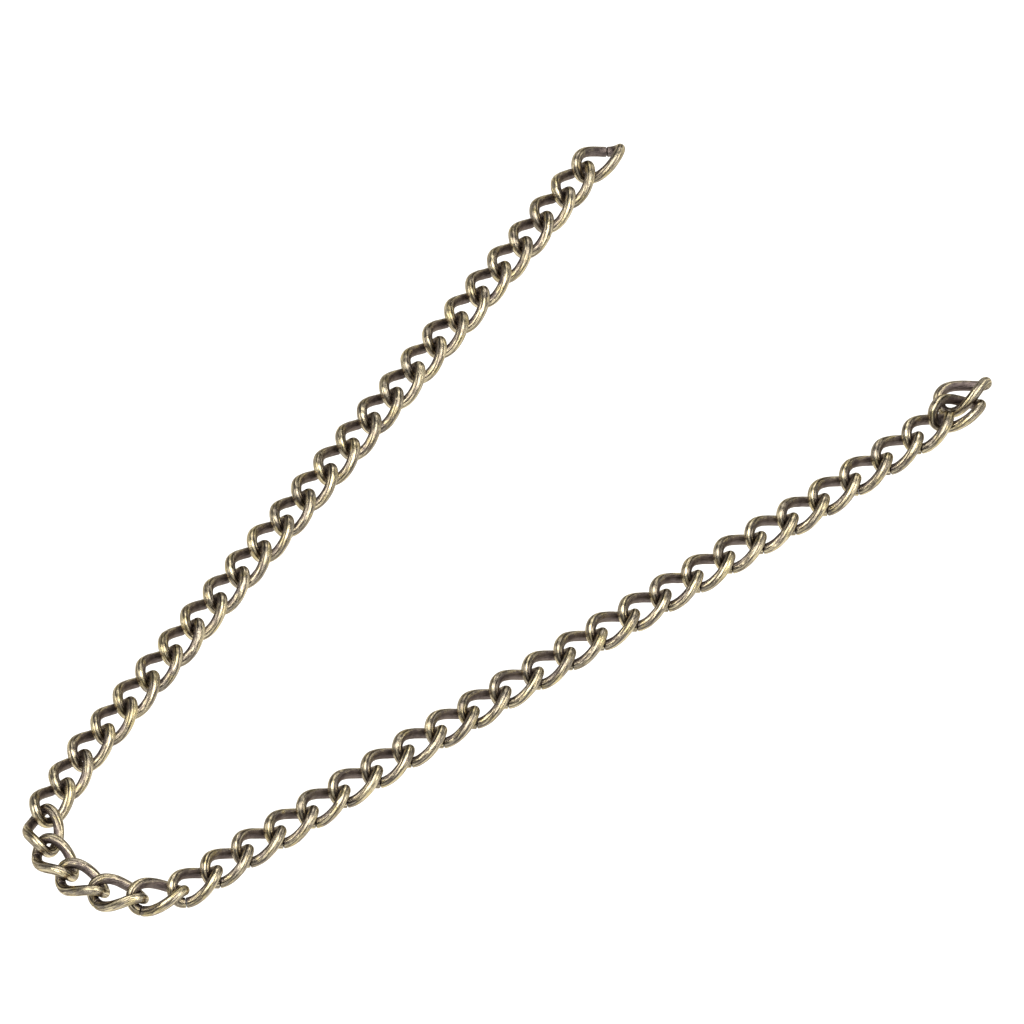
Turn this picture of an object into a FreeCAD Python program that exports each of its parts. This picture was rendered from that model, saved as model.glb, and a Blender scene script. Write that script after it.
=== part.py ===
"""Curb chain for a pocket watch: 57 twisted wire links that lie flat in a narrow V.

Frame: millimetres, +Z up, +X from the tight bend towards the two free ends. The origin is the middle
of the chain's footprint on the surface that it lies on.
"""
import FreeCAD
import Part
import math
import os

# ---- the link: one round wire, bent into an oval and twisted about its length ---------------------
WIRE_DIAMETER = 1.6
LINK_HALF_LENGTH = 3.85      # from the link's middle to the wire's centre line at each end
LINK_HALF_WIDTH = 2.25       # from the link's middle to the wire's centre line at each side
LINK_SQUARENESS = 2.5        # power of the oval: 2 is an ellipse, and more fills its corners
LINK_TWIST = -104.0          # how far the front end is turned about the length against the rear end
CUT_ANGLE = 230.0            # where round the oval the wire's two ends meet
CUT_WIDTH_ANGLE = 1.4        # the open gap between the wire's ends, as an angle round the oval
BENDS = 16                   # stretches of the wire between the points that its shape is set by
WIRE_CLEARANCE = 0.1         # gap between the wires of neighbouring links

# ---- how the chain lies: direction and tilt of each link, in degrees ------------------------------
LINKS_IN_LINE = 55           # links 0 to 54, each hooked into the one before
FIRST_HEADING = 168.5        # direction of the first link, which points from its free end into the chain
TURNS = {                    # plan turn of a link against the one before; those not named run on straight
    1: 24.0, 2: -3.0,
    24: 8.0, 25: -3.0, 26: 31.0, 27: 28.0, 28: 21.0, 29: 18.0, 30: 31.0, 31: 27.0,
    32: 3.0, 33: -2.0, 38: -1.0, 54: 2.5,
}
NOSE_UP = {                  # links that don't lie level: the bend rides up, and so does the folded end
    24: 1.0, 25: 2.0, 26: 3.0, 27: 3.0, 28: 6.0, 29: 7.0, 30: 1.0, 32: -2.0, 33: -2.0,
    51: 3.0, 52: 4.0, 53: 3.0, 54: 2.5,
}
SWAY = 1.2                   # small uneven turn of every link to either side
SWAY_STEP = 137.5            # degrees of phase from one link's sway to the next

# ---- the folded end: link 55 is hooked in far back, and link 56 is folded over onto it -------------
# turn, nose up and roll against the link before, and where the middle lies in that link's own axes
FOLDED_END = [
    {"turn": -15.5, "nose_up": -7.5, "roll": 9.0, "middle": (5.35, -0.25, 0.2)},
    {"turn": -1.0, "nose_up": 21.0, "roll": -22.5, "middle": (2.4, 2.55, -0.2)},
]


def wire_point(angle):
    """Point of the wire's centre line at an angle in degrees round the twisted oval."""
    cosine = math.cos(math.radians(angle))
    sine = math.sin(math.radians(angle))
    power = 2.0 / LINK_SQUARENESS
    along = math.copysign(abs(cosine) ** power, cosine)
    across = LINK_HALF_WIDTH * math.copysign(abs(sine) ** power, sine)
    twist = math.radians(LINK_TWIST / 2.0) * along
    return FreeCAD.Vector(LINK_HALF_LENGTH * along, across * math.cos(twist), across * math.sin(twist))


def wire_direction(angle):
    """Unit direction in which the wire runs at this angle."""
    step = 0.01
    return (wire_point(angle + step) - wire_point(angle - step)).normalize()


def arc_between(start, corner, end):
    """Circular arc from start to end, tangent to the lines from both of them to the corner."""
    middle = (start + end) * 0.5
    half_turn_cosine = (end - start).Length / (2.0 * (corner - start).Length)
    share = half_turn_cosine / (1.0 + half_turn_cosine)
    return Part.Arc(start, middle + (corner - middle) * share, end).toShape()


def arc_pair(first_angle, last_angle):
    """Two tangent arcs that carry the wire from one angle to another, with the right direction at both."""
    start = wire_point(first_angle)
    end = wire_point(last_angle)
    start_direction = wire_direction(first_angle)
    end_direction = wire_direction(last_angle)
    chord = end - start
    both = start_direction + end_direction
    a = both.Length ** 2 - 4.0
    b = -2.0 * chord.dot(both)
    c = chord.Length ** 2
    reach = (-b - math.sqrt(b * b - 4.0 * a * c)) / (2.0 * a)
    first_corner = start + start_direction * reach
    last_corner = end - end_direction * reach
    join = (first_corner + last_corner) * 0.5
    return [arc_between(start, first_corner, join), arc_between(join, last_corner, end)]


def make_link():
    """One link about its own middle, +X towards its front end: a round wire swept along its arcs."""
    first = CUT_ANGLE + CUT_WIDTH_ANGLE / 2.0
    last = CUT_ANGLE - CUT_WIDTH_ANGLE / 2.0 + 360.0
    step = (last - first) / BENDS
    arcs = []
    for number in range(BENDS):
        arcs += arc_pair(first + number * step, first + (number + 1) * step)
    circle = Part.Circle(wire_point(first), wire_direction(first), WIRE_DIAMETER / 2.0)
    sweep = Part.BRepOffsetAPI.MakePipeShell(Part.Wire(arcs))
    sweep.add(Part.Wire([circle.toShape()]))
    sweep.build()
    sweep.makeSolid()
    return sweep.shape()


def end_middle(place, side):
    """Middle of the wire at a placed link's front end (side 1) or rear end (side -1)."""
    return place.multVec(FreeCAD.Vector(side * LINK_HALF_LENGTH, 0, 0))


def end_direction(place, side):
    """Direction in which the wire runs at that end."""
    twist = math.radians(side * LINK_TWIST / 2.0)
    return place.Rotation.multVec(FreeCAD.Vector(0, math.cos(twist), math.sin(twist)))


def place_behind(place, rotation):
    """Placement of the next link: its rear end and this one's front end cross, a clearance apart."""
    following = FreeCAD.Placement(FreeCAD.Vector(), rotation)
    apart = end_direction(place, 1).cross(end_direction(following, -1)).normalize()
    if apart.dot(place.Rotation.multVec(FreeCAD.Vector(1, 0, 0))) < 0:
        apart = -apart
    rear_end = end_middle(place, 1) - apart * (WIRE_DIAMETER + WIRE_CLEARANCE)
    following.Base = rear_end - end_middle(following, -1)
    return following


def lay_chain():
    """Placements of all the links, before the origin is set."""
    places = []
    heading = FIRST_HEADING
    for number in range(LINKS_IN_LINE):
        heading += TURNS.get(number, 0.0)
        yaw = heading + SWAY * math.sin(math.radians(SWAY_STEP * number))
        rotation = FreeCAD.Rotation(yaw, -NOSE_UP.get(number, 0.0), 0.0)
        if places:
            places.append(place_behind(places[-1], rotation))
        else:
            places.append(FreeCAD.Placement(FreeCAD.Vector(), rotation))
    for pose in FOLDED_END:
        rotation = FreeCAD.Rotation(pose["turn"], -pose["nose_up"], pose["roll"])
        against_last = FreeCAD.Placement(FreeCAD.Vector(*pose["middle"]), rotation)
        places.append(places[-1].multiply(against_last))
    return places


def set_origin(places):
    """Move the placements so that the footprint's middle is the origin and the lowest wire is at zero."""
    wire = [wire_point(angle) for angle in range(360)]
    points = [place.multVec(point) for place in places for point in wire]
    low = [min(point[axis] for point in points) for axis in range(3)]
    high = [max(point[axis] for point in points) for axis in range(3)]
    shift = FreeCAD.Vector(
        -(low[0] + high[0]) / 2.0,
        -(low[1] + high[1]) / 2.0,
        WIRE_DIAMETER / 2.0 - low[2],
    )
    return [FreeCAD.Placement(place.Base + shift, place.Rotation) for place in places]


def link_name(number):
    return "link_%02d" % number


def main():
    os.makedirs("parts", exist_ok=True)
    link = make_link()
    for number, place in enumerate(set_origin(lay_chain())):
        placed = link.copy()
        placed.Placement = place
        placed.exportStep("parts/%s.step" % link_name(number))


main()
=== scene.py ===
"""Looks of the pocket watch chain: every link as worn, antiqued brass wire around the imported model.

All lengths are in metres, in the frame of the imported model. Directions round the object are given as
the camera sees them: azimuth 0 is towards the camera, and a positive azimuth is to its right.
"""
import math

import bpy
import numpy as np
from mathutils import Matrix, Vector


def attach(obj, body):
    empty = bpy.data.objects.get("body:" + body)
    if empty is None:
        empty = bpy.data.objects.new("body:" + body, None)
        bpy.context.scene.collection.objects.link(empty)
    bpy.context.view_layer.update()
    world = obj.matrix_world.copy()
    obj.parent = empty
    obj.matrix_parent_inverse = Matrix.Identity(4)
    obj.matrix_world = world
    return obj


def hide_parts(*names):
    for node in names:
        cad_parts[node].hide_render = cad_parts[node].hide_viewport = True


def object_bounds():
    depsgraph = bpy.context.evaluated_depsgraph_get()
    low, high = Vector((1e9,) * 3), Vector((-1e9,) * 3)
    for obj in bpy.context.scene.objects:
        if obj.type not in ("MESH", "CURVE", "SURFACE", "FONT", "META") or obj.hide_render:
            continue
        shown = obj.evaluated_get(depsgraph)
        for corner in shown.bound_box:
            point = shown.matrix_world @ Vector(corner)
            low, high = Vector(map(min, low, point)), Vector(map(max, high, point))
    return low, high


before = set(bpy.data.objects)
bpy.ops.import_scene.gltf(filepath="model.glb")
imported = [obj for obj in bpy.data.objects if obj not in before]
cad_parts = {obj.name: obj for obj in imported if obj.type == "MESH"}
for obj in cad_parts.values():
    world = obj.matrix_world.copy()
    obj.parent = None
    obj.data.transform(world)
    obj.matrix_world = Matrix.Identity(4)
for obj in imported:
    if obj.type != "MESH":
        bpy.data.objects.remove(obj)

CAD_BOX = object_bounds()

# ---- the link's wire -------------------------------------------------------------------------------
WIRE_RADIUS = 0.0008
HALF_LENGTH = 0.00385        # from the link's middle to the wire's centre line at each end
HALF_WIDTH = 0.00225         # and at each side
SQUARENESS = 2.5             # power of the oval
TWIST = math.radians(-104.0)  # front end against rear end, about the link's length
CUT_ANGLE = math.radians(230.0)      # where round the oval the wire's two ends meet
CAD_CUT_WIDTH_ANGLE = math.radians(1.4)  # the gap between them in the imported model
CUT_WIDTH_ANGLE = math.radians(0.35)     # and as it is seen, with the ends pressed together
FINE_STEPS = 4000            # for measuring the wire's length
RINGS = 150                  # sections along the wire
SIDES = 28                   # points round each section
NIP_LENGTH = 0.00018         # the cutters leave each end of the wire tapered over this length
NIP_RADIUS = 0.6             # and this share of the radius is left at the very end
END_RINGS = 6                # sections in each tapered end
DENTS = 7                    # small dents in each link
DENT_DEPTH = 0.00002
DENT_DEPTH_SHARES = (0.4, 1.0)
DENT_SPREAD = 0.00028
DENT_SPREAD_SHARES = (0.5, 1.3)
DENT_NARROWING = (0.8, 2.0)  # how much narrower a dent is round the wire than along it
WAVES = 5                    # slow unevenness of the drawn and bent wire
WAVE_DEPTH = 0.000005
WAVES_ROUND = (1, 4)         # whole waves round the wire, the last not included
WAVES_ALONG = (3.0, 14.0)    # waves from one end of the wire to the other

# ---- the view --------------------------------------------------------------------------------------
VIEW_TURN = math.radians(-48.47)     # the camera looks along +Y turned by this about +Z
CAMERA_ELEVATION = 47.825            # degrees above the floor
CAMERA_DISTANCE = 2.192
CAMERA_LENS = 526.0                  # millimetres, on a sensor 36 mm wide
SENSOR_WIDTH = 36.0
AIM_FROM_MIDDLE = (0.0156, -0.00025)  # the aimed point against the middle of the chain's box, in plan
AIM_HEIGHT = 0.0022                  # the links' middles lie this high

# ---- the light and the floor -----------------------------------------------------------------------
WHITE = (1.0, 1.0, 1.0)
SOFTBOX_WHITE = (1.0, 0.97, 0.91)
SKY_STRENGTH = 0.48
LIGHTS = {                   # where each one stands from the aimed point, its width and height, its power
    "softbox_left": {
        "azimuth": -62.0, "elevation": 66.0, "distance": 0.9, "size": (0.80, 0.80), "watts": 8.6,
        "colour": SOFTBOX_WHITE,
    },
    "softbox_right": {
        "azimuth": 62.0, "elevation": 64.0, "distance": 0.9, "size": (0.56, 0.80), "watts": 6.4,
        "colour": SOFTBOX_WHITE,
    },
    "softbox_back": {
        "azimuth": 160.0, "elevation": 40.0, "distance": 1.0, "size": (0.70, 0.40), "watts": 2.6,
        "colour": SOFTBOX_WHITE,
    },
    "fill_front": {
        "azimuth": 35.0, "elevation": 12.0, "distance": 1.4, "size": (0.80, 0.50), "watts": 0.8,
        "colour": WHITE,
    },
}
FLOOR_SIZE = 6.0
FLOOR_DROP = 0.09            # how far below the chain: a run that hangs at a joint's limit clears it
FLOOR_GREY = 0.3             # what it reflects
FLOOR_GLOW = 0.80            # and what it gives off, so that it stays white under the chain
FLOOR_ROUGHNESS = 0.7
FLOOR_SPECULAR = 0.2

# ---- the colours and texture of the brass ----------------------------------------------------------
PATINA_DARK = (0.105, 0.084, 0.080)
PATINA_LIGHT = (0.175, 0.144, 0.132)
BRASS_DULL = (0.360, 0.318, 0.245)
BRASS_WORN = (0.670, 0.580, 0.390)
BRASS_YELLOW = (0.600, 0.500, 0.255)
# the dark of the painted reflection lines: painted dark reflection that splits the highlight along the wire
PAINTED_REFLECTION_DARK = (0.030, 0.024, 0.020)
EDGE_TINT = (0.60, 0.55, 0.46)       # reflection at a grazing angle, dulled by the patina
TEXTURES = {                 # stretch round and along the wire, scale per metre, detail and roughness
    "drawn": {"stretch": (1.0, 0.10), "scale": 2400.0, "detail": 3.0, "roughness": 0.6},
    "streaks": {"stretch": (1.0, 0.07), "scale": 5600.0, "detail": 3.0, "roughness": 0.6},
    "hairlines": {"stretch": (1.0, 0.03), "scale": 16000.0, "detail": 2.0, "roughness": 0.6},
    "grain": {"stretch": (1.0, 1.0), "scale": 8000.0, "detail": 3.0, "roughness": 0.7},
    "clouds": {"stretch": (1.0, 1.0), "scale": 650.0, "detail": 3.0, "roughness": 0.55},
    "scratches": {"stretch": (0.25, 1.0), "scale": 5200.0, "detail": 2.0, "roughness": 0.5},
}
MIDDLE_OF_NOISE = (0.3, 0.7)         # the values that a noise keeps to most of the time
LINK_TONE_REACH = 0.04               # how far one link's polish differs from another's
DULL_TO_WORN = (0.40, 0.57)          # polish at which the brass goes from dull to worn
YELLOW_CLOUDS = (0.50, 0.66)         # clouds in which it turns yellow, and how far
MOST_YELLOW = 0.8
PATINA_CLOUDS = (0.35, 0.65)         # clouds in which the patina goes from dark to light
DRAWN_LINE = 0.47                    # the value of the drawn texture along its dark lines
DRAWN_LINE_HALF_WIDTH = 0.075
DRAWN_LINE_DARKNESS = 0.75
PORE_GRAIN = (0.55, 0.70)            # grain from which pores hold blackening, and how far
PORE_DARKNESS = 0.6
RUBBING = {"streaks": 0.22, "clouds": 0.22, "grain": 0.16}   # how far each breaks up the rubbed side
BARE_FROM_TO = (-0.60, 0.15)         # patina below the first value of rubbing, bare brass above the second
CUT_BLACKENING = 0.8                 # how far the blackening comes back at the wire's cut ends
PAINTED_REFLECTION_LINES = [                # painted reflection, dark lines that split the highlight: where they lie between inner side (-1) and outer side (1)
    {"strays_with": "streaks", "broken_by": "clouds", "exposed": 0.22, "half_width": 0.34, "darkness": 1.0},
    {"strays_with": "clouds", "broken_by": "streaks", "exposed": 0.76, "half_width": 0.18, "darkness": 0.8},
]
STRAYING = 0.06              # how far a painted reflection line strays to either side
PAINTED_LINE_BREAKS = (0.30, 0.44)         # texture below the first value breaks a painted reflection line off
PATINA_ROUGHNESS = 0.36
BRASS_ROUGHNESS = 0.06
GRAIN_ROUGHNESS = 0.12       # added where the grain is coarse
COARSE_GRAIN = (0.35, 0.7)
RELIEF = {"drawn": 1.0, "streaks": 0.35, "hairlines": 0.10, "grain": 0.15, "scratches": 0.10}
RELIEF_STRENGTH = 0.6
RELIEF_DEPTH = 0.00026


# ---- placing each link -----------------------------------------------------------------------------
def oval_point(angle):
    """Points of the wire's centre line at angles round the twisted oval, one per row."""
    power = 2.0 / SQUARENESS
    along = np.sign(np.cos(angle)) * np.abs(np.cos(angle)) ** power
    across = HALF_WIDTH * np.sign(np.sin(angle)) * np.abs(np.sin(angle)) ** power
    turn = TWIST / 2.0 * along
    return np.stack([HALF_LENGTH * along, across * np.cos(turn), across * np.sin(turn)], axis=1)


def oval_outward(angle):
    """Directions that point out of the link at those angles, across the wire in the twisted face."""
    power = 2.0 / SQUARENESS
    along = np.sign(np.cos(angle)) * np.abs(np.cos(angle)) ** power
    across = np.sign(np.sin(angle)) * np.abs(np.sin(angle)) ** power
    rise = SQUARENESS - 1.0
    out_along = np.sign(along) * np.abs(along) ** rise / HALF_LENGTH
    out_across = np.sign(across) * np.abs(across) ** rise / HALF_WIDTH
    turn = TWIST / 2.0 * along
    return np.stack([out_along, out_across * np.cos(turn), out_across * np.sin(turn)], axis=1)


def unit(rows):
    return rows / np.linalg.norm(rows, axis=1)[:, None]


def wire_stations(cut_width_angle):
    """Places along the wire from one cut end to the other: distances, points, directions, outward."""
    first = CUT_ANGLE + cut_width_angle / 2.0
    last = CUT_ANGLE - cut_width_angle / 2.0 + 2.0 * math.pi
    fine = np.linspace(first, last, FINE_STEPS)
    points = oval_point(fine)
    travelled = np.concatenate([[0.0], np.cumsum(np.linalg.norm(np.diff(points, axis=0), axis=1))])
    length = travelled[-1]
    end = NIP_LENGTH * np.linspace(0.0, 1.0, END_RINGS + 1)[:-1] ** 1.5
    middle = np.linspace(NIP_LENGTH, length - NIP_LENGTH, RINGS)
    distance = np.concatenate([end, middle, (length - end)[::-1]])
    angle = np.interp(distance, travelled, fine)
    point = oval_point(angle)
    step = 1e-4
    direction = unit(oval_point(angle + step) - oval_point(angle - step))
    outward = oval_outward(angle)
    outward -= (outward * direction).sum(axis=1)[:, None] * direction
    return distance, length, point, direction, unit(outward)


def moments(points, triangles):
    """Middle and main axes of a surface, weighted by area, with the axes as columns."""
    corners = points[triangles]
    doubled = np.linalg.norm(np.cross(corners[:, 1] - corners[:, 0], corners[:, 2] - corners[:, 0]), axis=1)
    centres = corners.mean(axis=1)
    middle = (centres * doubled[:, None]).sum(axis=0) / doubled.sum()
    spread = (centres - middle).T @ ((centres - middle) * doubled[:, None])
    axes = np.linalg.eigh(spread)[1][:, ::-1]
    if np.linalg.det(axes) < 0:
        axes[:, 2] = -axes[:, 2]
    return middle, axes


def node_surface(node):
    """Vertices and triangles of a CAD node."""
    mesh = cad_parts[node].data
    mesh.calc_loop_triangles()
    points = np.zeros(len(mesh.vertices) * 3)
    mesh.vertices.foreach_get("co", points)
    triangles = np.zeros(len(mesh.loop_triangles) * 3, np.int32)
    mesh.loop_triangles.foreach_get("vertices", triangles)
    return points.reshape(-1, 3), triangles.reshape(-1, 3)


def link_place(node, plain_middle, plain_axes, cut_point):
    """Turn and shift that take the plain link to where the CAD node lies.

    The oval looks the same after a half turn about any of its axes, so of the four turns that fit it
    the right one is that which brings the wire's cut to the CAD node's cut.
    """
    points, triangles = node_surface(node)
    middle, axes = moments(points, triangles)
    best = None
    for signs in ((1, 1, 1), (1, -1, -1), (-1, 1, -1), (-1, -1, 1)):
        turn = (axes * np.array(signs)) @ plain_axes.T
        shift = middle - turn @ plain_middle
        cut = turn @ cut_point + shift
        inside = np.linalg.norm(points[triangles].mean(axis=1) - cut, axis=1).min()
        if best is None or inside < best[0]:
            best = (inside, turn, shift)
    return best[1], best[2]


# ---- the wire's surface ----------------------------------------------------------------------------
def section_radius(distance, length):
    """Share of the wire's radius at each distance along it: less in the two tapered ends."""
    from_end = np.minimum(distance, length - distance)
    share = np.clip(from_end / NIP_LENGTH, 0.0, 1.0)
    return NIP_RADIUS + (1.0 - NIP_RADIUS) * np.sqrt(1.0 - (1.0 - share) ** 2)


def section_directions(direction, outward):
    """Directions across the wire at every section and side, from the outward one round."""
    round_angle = np.arange(SIDES) * 2.0 * math.pi / SIDES
    binormal = np.cross(direction, outward)
    sideways = np.sin(round_angle)[None, :, None] * binormal[:, None]
    return round_angle, np.cos(round_angle)[None, :, None] * outward[:, None] + sideways


def unevenness(draw, distance, length, round_angle):
    """Depth below the round wire at every section and side: slow waves and small dents."""
    along = distance[:, None]
    around = round_angle[None, :]
    depth = np.zeros((len(distance), len(round_angle)))
    for _ in range(WAVES):
        turns = draw.integers(*WAVES_ROUND)
        waves = draw.uniform(*WAVES_ALONG)
        phase = draw.uniform(0.0, 2.0 * math.pi, 2)
        wave = np.sin(turns * around + phase[0]) * np.sin(2.0 * math.pi * waves * along / length + phase[1])
        depth += WAVE_DEPTH * (1.0 + wave)
    for _ in range(DENTS):
        place = draw.uniform(0.0, length)
        side = draw.uniform(0.0, 2.0 * math.pi)
        spread = DENT_SPREAD * draw.uniform(*DENT_SPREAD_SHARES)
        sideways = WIRE_RADIUS * 2.0 * np.sin((around - side) / 2.0)
        apart = (along - place) ** 2 + (sideways * draw.uniform(*DENT_NARROWING)) ** 2
        depth += DENT_DEPTH * draw.uniform(*DENT_DEPTH_SHARES) * np.exp(-apart / spread ** 2)
    return depth


def wire_faces(sections, sides):
    """Quads of the tube, and a fan that closes each end."""
    ring = np.arange(sections * sides).reshape(sections, sides)
    quads = np.stack(
        [ring[:-1], np.roll(ring, -1, axis=1)[:-1], np.roll(ring, -1, axis=1)[1:], ring[1:]], axis=-1
    ).reshape(-1, 4)
    start = sections * sides
    finish = start + 1
    faces = [tuple(quad) for quad in quads.tolist()]
    for side in range(sides):
        following = (side + 1) % sides
        faces.append((start, following, side))
        last = (sections - 1) * sides
        faces.append((finish, last + side, last + following))
    return faces


def make_link_mesh(name, number, stations, turn, shift):
    """One link's mesh where it lies, with the surface attributes that its finish reads."""
    distance, length, point, direction, outward = stations
    draw = np.random.default_rng(number + 1)
    round_angle, across = section_directions(direction, outward)
    share = section_radius(distance, length)
    radius = WIRE_RADIUS * share[:, None] - unevenness(draw, distance, length, round_angle)
    surface = (point[:, None] + radius[:, :, None] * across).reshape(-1, 3)
    surface = np.vstack([surface, point[0], point[-1]])
    placed = surface @ turn.T + shift
    mesh = bpy.data.meshes.new(name)
    mesh.from_pydata(placed.tolist(), [], wire_faces(len(distance), SIDES))
    mesh.shade_smooth()
    mesh.update()

    spots = len(placed)
    exposed = np.concatenate([np.tile(np.cos(round_angle), len(distance)), [-1.0, -1.0]])
    add_values(mesh, "exposed", exposed)
    around = np.stack([np.cos(round_angle), np.sin(round_angle)], axis=1) * WIRE_RADIUS
    along = np.concatenate([np.repeat(distance, SIDES), [0.0, length]])
    wire_place = np.zeros((spots, 3))
    wire_place[:-2, :2] = np.tile(around, (len(distance), 1))
    wire_place[:, 2] = along + number * 2.0 * length
    add_vectors(mesh, "wire_place", wire_place)
    cut = np.exp(-np.minimum(along, length - along) / NIP_LENGTH)
    add_values(mesh, "cut", cut)
    add_values(mesh, "link_tone", np.full(spots, draw.uniform(-1.0, 1.0)))
    return mesh


def add_values(mesh, name, values):
    layer = mesh.attributes.new(name, "FLOAT", "POINT")
    layer.data.foreach_set("value", np.asarray(values, np.float32))


def add_vectors(mesh, name, rows):
    layer = mesh.attributes.new(name, "FLOAT_VECTOR", "POINT")
    layer.data.foreach_set("vector", np.asarray(rows, np.float32).ravel())


# ---- the finish ------------------------------------------------------------------------------------
class Nodes:
    """Short ways to add and join shader nodes."""

    def __init__(self, material):
        self.tree = material.node_tree

    def add(self, kind, **settings):
        node = self.tree.nodes.new(kind)
        for name, value in settings.items():
            setattr(node, name, value)
        return node

    def join(self, source, target):
        self.tree.links.new(source, target)

    def feed(self, socket, value):
        if isinstance(value, bpy.types.NodeSocket):
            self.join(value, socket)
        else:
            socket.default_value = value

    def attribute(self, name, output="Fac"):
        """A surface attribute: its single value, or with output "Vector" its three."""
        return self.add("ShaderNodeAttribute", attribute_name=name).outputs[output]

    def maths(self, operation, first, second=0.0, clamp=False):
        node = self.add("ShaderNodeMath", operation=operation, use_clamp=clamp)
        self.feed(node.inputs[0], first)
        self.feed(node.inputs[1], second)
        return node.outputs[0]

    def stretch(self, vector, scale):
        node = self.add("ShaderNodeVectorMath", operation="MULTIPLY")
        self.feed(node.inputs[0], vector)
        node.inputs[1].default_value = scale
        return node.outputs[0]

    def noise(self, vector, scale, detail, roughness):
        node = self.add("ShaderNodeTexNoise")
        self.feed(node.inputs["Vector"], vector)
        node.inputs["Scale"].default_value = scale
        node.inputs["Detail"].default_value = detail
        node.inputs["Roughness"].default_value = roughness
        return node.outputs["Fac"]

    def remap(self, value, low, high, to_low=0.0, to_high=1.0):
        node = self.add("ShaderNodeMapRange", interpolation_type="SMOOTHSTEP")
        self.feed(node.inputs["Value"], value)
        node.inputs["From Min"].default_value = low
        node.inputs["From Max"].default_value = high
        node.inputs["To Min"].default_value = to_low
        node.inputs["To Max"].default_value = to_high
        return node.outputs["Result"]

    def blend(self, share, first, second):
        """Mix of two colours, whose sockets are the node's seventh and eighth."""
        node = self.add("ShaderNodeMix", data_type="RGBA")
        self.feed(node.inputs[0], share)
        self.feed(node.inputs[6], first)
        self.feed(node.inputs[7], second)
        return node.outputs[2]


def solid(colour):
    return (*colour, 1.0)


def make_textures(n):
    """The noises of the wire's surface by name, laid along the wire."""
    place = n.attribute("wire_place", "Vector")
    textures = {}
    for name, form in TEXTURES.items():
        around, along = form["stretch"]
        stretched = n.stretch(place, (around, around, along))
        textures[name] = n.noise(stretched, form["scale"], form["detail"], form["roughness"])
    return textures


def painted_reflection_line(n, textures, form):
    """Share of painted dark reflection in a line along both flanks of the wire, where it splits the
    highlight.
    """
    stray = n.remap(textures[form["strays_with"]], *MIDDLE_OF_NOISE, -STRAYING, STRAYING)
    apart = n.maths("ADD", n.maths("SUBTRACT", n.attribute("exposed"), form["exposed"]), stray)
    dark_gap = n.remap(n.maths("ABSOLUTE", apart), 0.0, form["half_width"], form["darkness"], 0.0)
    return n.maths("MULTIPLY", dark_gap, n.remap(textures[form["broken_by"]], *PAINTED_LINE_BREAKS))


def rubbed_bare(n, textures):
    """Share of bare brass: the outer side is bright and the inner side dark, broken up by the textures."""
    rubbed = n.attribute("exposed")
    for name, reach in RUBBING.items():
        rubbed = n.maths("ADD", rubbed, n.remap(textures[name], *MIDDLE_OF_NOISE, -reach, reach))
    cut = n.maths("MULTIPLY", n.attribute("cut"), CUT_BLACKENING)
    return n.remap(n.maths("SUBTRACT", rubbed, cut), *BARE_FROM_TO)


def brass_colour(n, textures):
    """Worn brass, with blackening left in the lines of the drawn wire and in its pores, and lines of
    painted dark reflection that split the highlight.
    """
    link_tone = n.maths("MULTIPLY", n.attribute("link_tone"), LINK_TONE_REACH)
    polish = n.maths("ADD", textures["drawn"], link_tone)
    brass = n.blend(n.remap(polish, *DULL_TO_WORN), solid(BRASS_DULL), solid(BRASS_WORN))
    yellow = n.remap(textures["clouds"], *YELLOW_CLOUDS, 0.0, MOST_YELLOW)
    brass = n.blend(yellow, brass, solid(BRASS_YELLOW))
    from_line = n.maths("ABSOLUTE", n.maths("SUBTRACT", textures["drawn"], DRAWN_LINE))
    line = n.remap(from_line, 0.0, DRAWN_LINE_HALF_WIDTH, DRAWN_LINE_DARKNESS, 0.0)
    brass = n.blend(line, brass, solid(PATINA_DARK))
    # painted reflection: dark lines that split the highlight along the wire
    for form in PAINTED_REFLECTION_LINES:
        brass = n.blend(painted_reflection_line(n, textures, form), brass, solid(PAINTED_REFLECTION_DARK))
    pores = n.remap(textures["grain"], *PORE_GRAIN, 0.0, PORE_DARKNESS)
    return n.blend(pores, brass, solid(PATINA_LIGHT))


def relief(n, textures):
    """Bumped normal from all the textures that can be felt."""
    height = 0.0
    for name, share in RELIEF.items():
        height = n.maths("ADD", height, n.maths("MULTIPLY", textures[name], share))
    bump = n.add("ShaderNodeBump")
    bump.inputs["Strength"].default_value = RELIEF_STRENGTH
    bump.inputs["Distance"].default_value = RELIEF_DEPTH
    n.join(height, bump.inputs["Height"])
    return bump.outputs["Normal"]


def antique_brass():
    """Drawn brass wire, blackened and then rubbed bright on its outer side."""
    material = bpy.data.materials.new("antique_brass")
    material.use_nodes = True
    shader = material.node_tree.nodes["Principled BSDF"]
    shader.inputs["Metallic"].default_value = 1.0
    shader.inputs["Specular Tint"].default_value = solid(EDGE_TINT)

    n = Nodes(material)
    textures = make_textures(n)
    bare = rubbed_bare(n, textures)
    cloudy = n.remap(textures["clouds"], *PATINA_CLOUDS)
    patina = n.blend(cloudy, solid(PATINA_DARK), solid(PATINA_LIGHT))
    n.join(n.blend(bare, patina, brass_colour(n, textures)), shader.inputs["Base Color"])

    dullness = n.remap(textures["grain"], *COARSE_GRAIN, 0.0, GRAIN_ROUGHNESS)
    shine = n.remap(bare, 0.0, 1.0, PATINA_ROUGHNESS, BRASS_ROUGHNESS)
    n.join(n.maths("ADD", shine, dullness, clamp=True), shader.inputs["Roughness"])
    n.join(relief(n, textures), shader.inputs["Normal"])
    return material


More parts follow.
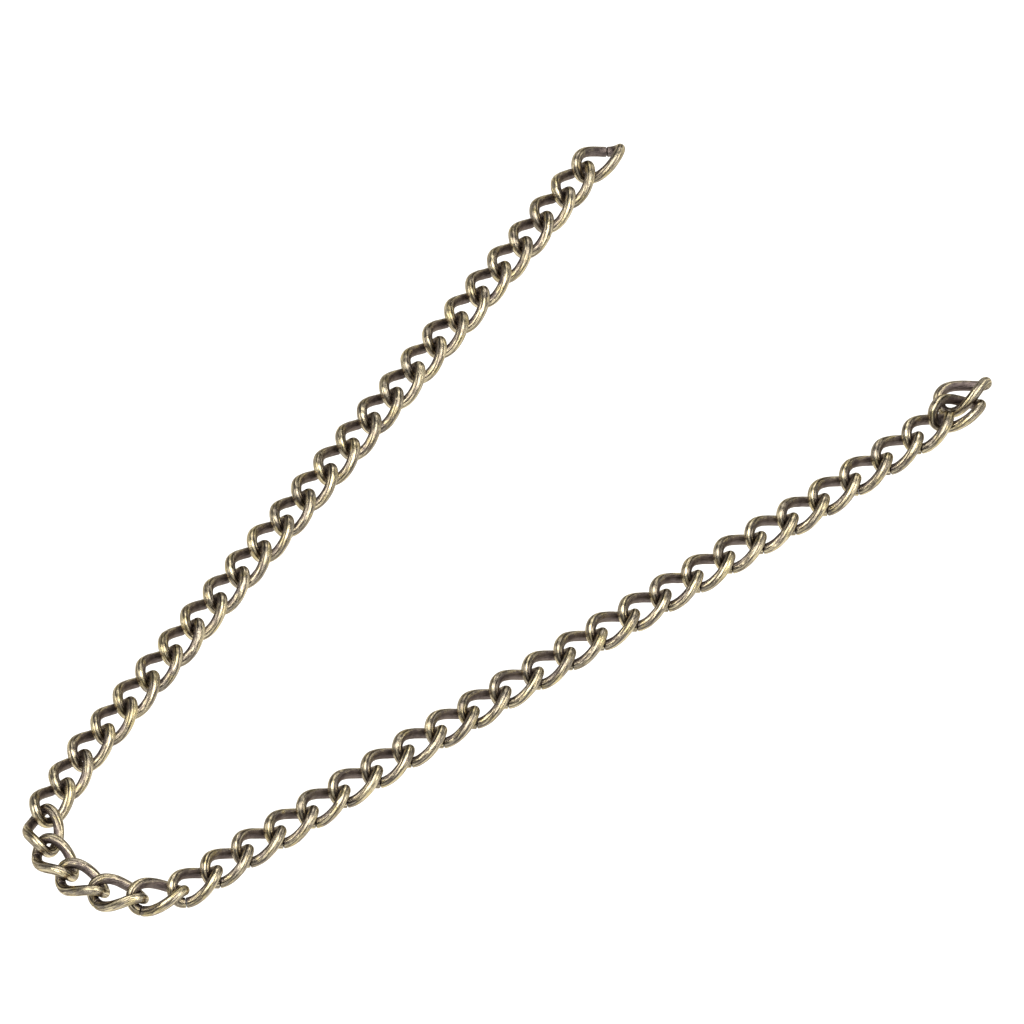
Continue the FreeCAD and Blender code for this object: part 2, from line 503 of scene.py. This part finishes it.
# ---- the links -------------------------------------------------------------------------------------
def plain_link_moments():
    """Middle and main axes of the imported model's link about its own middle."""
    distance, length, point, direction, outward = wire_stations(CAD_CUT_WIDTH_ANGLE)
    round_angle, across = section_directions(direction, outward)
    tube = (point[:, None] + WIRE_RADIUS * across).reshape(-1, 3)
    tube = np.vstack([tube, point[0], point[-1]])
    triangles = []
    for face in wire_faces(len(distance), SIDES):
        triangles.append(face[:3])
        if len(face) == 4:
            triangles.append((face[0], face[2], face[3]))
    return moments(tube, np.array(triangles))


def build_links(material):
    """One piece for every link of the chain."""
    plain_middle, plain_axes = plain_link_moments()
    cut_point = oval_point(np.array([CUT_ANGLE]))[0]
    stations = wire_stations(CUT_WIDTH_ANGLE)
    for number, node in enumerate(sorted(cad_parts)):
        turn, shift = link_place(node, plain_middle, plain_axes, cut_point)
        mesh = make_link_mesh("%s_wire" % node, number, stations, turn, shift)
        mesh.materials.append(material)
        piece = bpy.data.objects.new("%s_wire" % node, mesh)
        bpy.context.scene.collection.objects.link(piece)
        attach(piece, node)
        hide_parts(node)


# ---- floor, light and camera -----------------------------------------------------------------------
def seen_direction(azimuth, elevation):
    """Unit direction in the object's frame from azimuth and elevation in degrees, as the camera sees it."""
    azimuth, elevation = math.radians(azimuth), math.radians(elevation)
    level = Vector((math.sin(azimuth), -math.cos(azimuth), 0.0)) * math.cos(elevation)
    seen = level + Vector((0.0, 0.0, math.sin(elevation)))
    return Matrix.Rotation(VIEW_TURN, 3, "Z") @ seen


def make_floor(middle):
    mesh = bpy.data.meshes.new("floor")
    half = FLOOR_SIZE / 2.0
    corners = [(-half, -half), (half, -half), (half, half), (-half, half)]
    mesh.from_pydata([(x + middle.x, y + middle.y, -FLOOR_DROP) for x, y in corners], [], [(0, 1, 2, 3)])
    material = bpy.data.materials.new("floor_white")
    material.use_nodes = True
    shader = material.node_tree.nodes["Principled BSDF"]
    shader.inputs["Base Color"].default_value = (FLOOR_GREY, FLOOR_GREY, FLOOR_GREY, 1.0)
    shader.inputs["Roughness"].default_value = FLOOR_ROUGHNESS
    shader.inputs["Specular IOR Level"].default_value = FLOOR_SPECULAR
    shader.inputs["Emission Color"].default_value = solid(WHITE)
    shader.inputs["Emission Strength"].default_value = FLOOR_GLOW
    mesh.materials.append(material)
    floor = bpy.data.objects.new("floor", mesh)
    bpy.context.scene.collection.objects.link(floor)


def make_softbox(name, form, aim):
    """A flat light that faces the aimed point."""
    light = bpy.data.lights.new(name, "AREA")
    light.shape = "RECTANGLE"
    light.size, light.size_y = form["size"]
    light.energy = form["watts"]
    light.color = form["colour"]
    lamp = bpy.data.objects.new(name, light)
    away = seen_direction(form["azimuth"], form["elevation"])
    lamp.location = aim + away * form["distance"]
    lamp.rotation_euler = away.to_track_quat("Z", "Y").to_euler()
    bpy.context.scene.collection.objects.link(lamp)


def make_lights(aim):
    for name, form in LIGHTS.items():
        make_softbox(name, form, aim)
    world = bpy.data.worlds.new("studio")
    world.use_nodes = True
    background = world.node_tree.nodes["Background"]
    background.inputs["Color"].default_value = solid(WHITE)
    background.inputs["Strength"].default_value = SKY_STRENGTH
    bpy.context.scene.world = world


def make_camera(aim):
    camera = bpy.data.cameras.new("camera")
    camera.lens = CAMERA_LENS
    camera.sensor_width = SENSOR_WIDTH
    camera.clip_start = 0.05
    camera.clip_end = 20.0
    holder = bpy.data.objects.new("camera", camera)
    away = seen_direction(0.0, CAMERA_ELEVATION)
    holder.location = aim + away * CAMERA_DISTANCE
    holder.rotation_mode = "QUATERNION"
    holder.rotation_quaternion = away.to_track_quat("Z", "Y")
    bpy.context.scene.collection.objects.link(holder)
    bpy.context.scene.camera = holder


middle = (CAD_BOX[0] + CAD_BOX[1]) / 2.0
aim = Vector((middle.x + AIM_FROM_MIDDLE[0], middle.y + AIM_FROM_MIDDLE[1], AIM_HEIGHT))
make_camera(aim)
make_floor(middle)
make_lights(aim)
bpy.context.scene.view_settings.view_transform = "Standard"
build_links(antique_brass())
